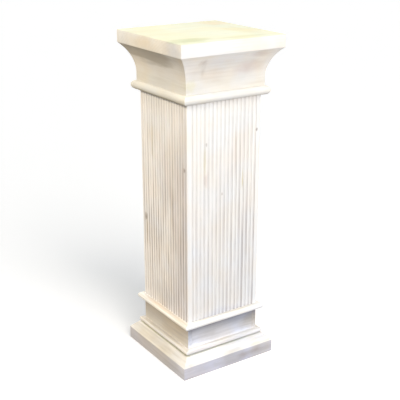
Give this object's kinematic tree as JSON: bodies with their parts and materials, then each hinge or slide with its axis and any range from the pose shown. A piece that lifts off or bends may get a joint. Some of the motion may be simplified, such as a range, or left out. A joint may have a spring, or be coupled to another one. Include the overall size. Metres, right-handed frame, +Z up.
{
  "type": "pedestal column",
  "caption": "Square fluted pedestal column in limed pine, with a thick top board, cove capital, half-round beads and a bevelled base, for displaying an object at waist height.",
  "frame": {"origin": "middle of the square underside, on the floor", "axes": "+Z up the column; -Y out of the front face and +X out of the right-hand face seen from the front"},
  "size_m": [0.323, 0.323, 0.93],
  "materials": {
    "limed_pine": "whitewashed pine, matt, grain showing through",
    "limed_pine_fluted": "whitewashed pine with upright flutes, matt, with knots and grain showing through",
    "limed_pine_top": "whitewashed pine, smooth and slightly yellowed"
  },
  "bodies": {
    "root": {"top_board": "limed_pine_top", "cove_moulding_front": "limed_pine", "cove_moulding_right": "limed_pine", "cove_moulding_back": "limed_pine", "cove_moulding_left": "limed_pine", "upper_bead_front": "limed_pine", "upper_bead_right": "limed_pine", "upper_bead_back": "limed_pine", "upper_bead_left": "limed_pine", "fluted_board_front": "limed_pine_fluted", "fluted_board_right": "limed_pine_fluted", "fluted_board_back": "limed_pine_fluted", "fluted_board_left": "limed_pine_fluted", "lower_bead_front": "limed_pine", "lower_bead_right": "limed_pine", "lower_bead_back": "limed_pine", "lower_bead_left": "limed_pine", "band_board_front": "limed_pine", "band_board_right": "limed_pine", "band_board_back": "limed_pine", "band_board_left": "limed_pine", "base_moulding_front": "limed_pine", "base_moulding_right": "limed_pine", "base_moulding_back": "limed_pine", "base_moulding_left": "limed_pine"}
  },
  "joints": []
}
